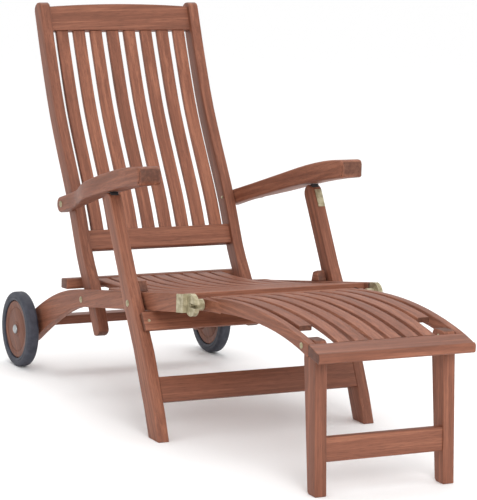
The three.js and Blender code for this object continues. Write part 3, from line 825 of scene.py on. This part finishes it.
class DECKCHAIR_OT_stage(bpy.types.Operator):
    """Set the floor, the soft light and the camera"""

    bl_idname = "deck_chair.stage"
    bl_label = "Stage"

    def execute(self, context):
        self.add_floor()
        self.add_lights()
        self.add_camera()
        return {"FINISHED"}

    @staticmethod
    def add_floor():
        """A wide painted floor, matt and very slightly mottled."""
        solid = bmesh.new()
        bmesh.ops.create_grid(solid, x_segments=1, y_segments=1, size=30)
        mesh = bpy.data.meshes.new("studio_floor")
        solid.to_mesh(mesh)
        solid.free()
        floor = bpy.data.objects.new("studio_floor", mesh)
        bpy.context.scene.collection.objects.link(floor)
        material, tree, shader = new_material("painted_studio_floor")
        pale = linear(settings()[2].floor)
        mottle = add_node(tree, "ShaderNodeTexNoise", Scale=1.5, Detail=2.0).outputs["Fac"]
        dull = tuple(0.985 * channel for channel in pale[:3]) + (1.0,)
        tree.links.new(ramp(tree, mottle, [(0.3, dull), (0.7, pale)]).outputs[0], shader.inputs["Base Color"])
        shader.inputs["Roughness"].default_value = 0.9
        mesh.materials.append(material)

    @staticmethod
    def add_lights():
        """A large key light in front, one above, a weak fill on the right and a pale surround."""
        target = Vector((0, 0, 0.4))
        for name, place, size, power in (
            ("key_light", (-1.0, -5.0, 2.6), 2.6, 125),
            ("fill_light", (3.4, -2.4, 2.0), 3.0, 8),
            ("top_light", (0.3, 1.6, 4.2), 3.0, 52),
        ):
            light = bpy.data.lights.new(name, "AREA")
            light.shape = "DISK"
            light.size = size
            light.energy = power
            lamp = bpy.data.objects.new(name, light)
            lamp.location = place
            lamp.rotation_euler = (target - Vector(place)).to_track_quat("-Z", "Y").to_euler()
            bpy.context.scene.collection.objects.link(lamp)
        world = bpy.data.worlds.new("pale_surround")
        world.use_nodes = True
        background = world.node_tree.nodes["Background"]
        background.inputs["Color"].default_value = (1.0, 1.0, 1.0, 1.0)
        background.inputs["Strength"].default_value = 1.0
        bpy.context.scene.world = world
        bpy.context.scene.view_settings.view_transform = "Standard"

    @staticmethod
    def add_camera():
        """A long lens at standing height, in front of the chair and to its left."""
        stage = settings()[2]
        lens = bpy.data.cameras.new("camera")
        lens.lens = stage.lens
        lens.clip_end = 100
        camera = bpy.data.objects.new("camera", lens)
        turn = Matrix.Rotation(-stage.azimuth, 4, "Z") @ Matrix.Rotation(math.pi / 2 - stage.pitch, 4, "X")
        roll = Matrix.Rotation(stage.roll, 4, "Z")
        camera.matrix_world = Matrix.Translation(stage.camera_place) @ turn @ roll
        bpy.context.scene.collection.objects.link(camera)
        bpy.context.scene.camera = camera


BUILDERS = (
    DECKCHAIR_OT_stage, DECKCHAIR_OT_seat_frame, DECKCHAIR_OT_seat_slats, DECKCHAIR_OT_backrest,
    DECKCHAIR_OT_arms, DECKCHAIR_OT_front_legs, DECKCHAIR_OT_footrest, DECKCHAIR_OT_hinges,
    DECKCHAIR_OT_bolts, DECKCHAIR_OT_wheels,
)
GROUPS = {
    "deck_chair_timber": DeckChairTimber,
    "deck_chair_fittings": DeckChairFittings,
    "deck_chair_stage": DeckChairStage,
}


class DECKCHAIR_PT_panel(bpy.types.Panel):
    """Lists the settings and the steps that build the chair"""

    bl_idname = "DECKCHAIR_PT_panel"
    bl_label = "Deck Chair"
    bl_space_type = "VIEW_3D"
    bl_region_type = "UI"
    bl_category = "Deck Chair"

    def draw(self, context):
        for builder in BUILDERS:
            self.layout.operator(builder.bl_idname)
        for name, group in GROUPS.items():
            box = self.layout.box()
            for setting in group.__annotations__:
                box.prop(getattr(context.scene, name), setting)


def register():
    for group in GROUPS.values():
        bpy.utils.register_class(group)
    for name, group in GROUPS.items():
        setattr(bpy.types.Scene, name, bpy.props.PointerProperty(type=group))
    for builder in BUILDERS:
        bpy.utils.register_class(builder)
    bpy.utils.register_class(DECKCHAIR_PT_panel)


def unregister():
    bpy.utils.unregister_class(DECKCHAIR_PT_panel)
    for builder in reversed(BUILDERS):
        bpy.utils.unregister_class(builder)
    for name, group in GROUPS.items():
        delattr(bpy.types.Scene, name)
        bpy.utils.unregister_class(group)


def main():
    """Builds the whole chair."""
    register()
    bpy.ops.deck_chair.stage()
    bpy.ops.deck_chair.seat_frame()
    bpy.ops.deck_chair.seat_slats()
    bpy.ops.deck_chair.backrest()
    bpy.ops.deck_chair.arms()
    bpy.ops.deck_chair.front_legs()
    bpy.ops.deck_chair.footrest()
    bpy.ops.deck_chair.hinges()
    bpy.ops.deck_chair.bolts()
    bpy.ops.deck_chair.wheels()


if __name__ == "__main__":
    main()
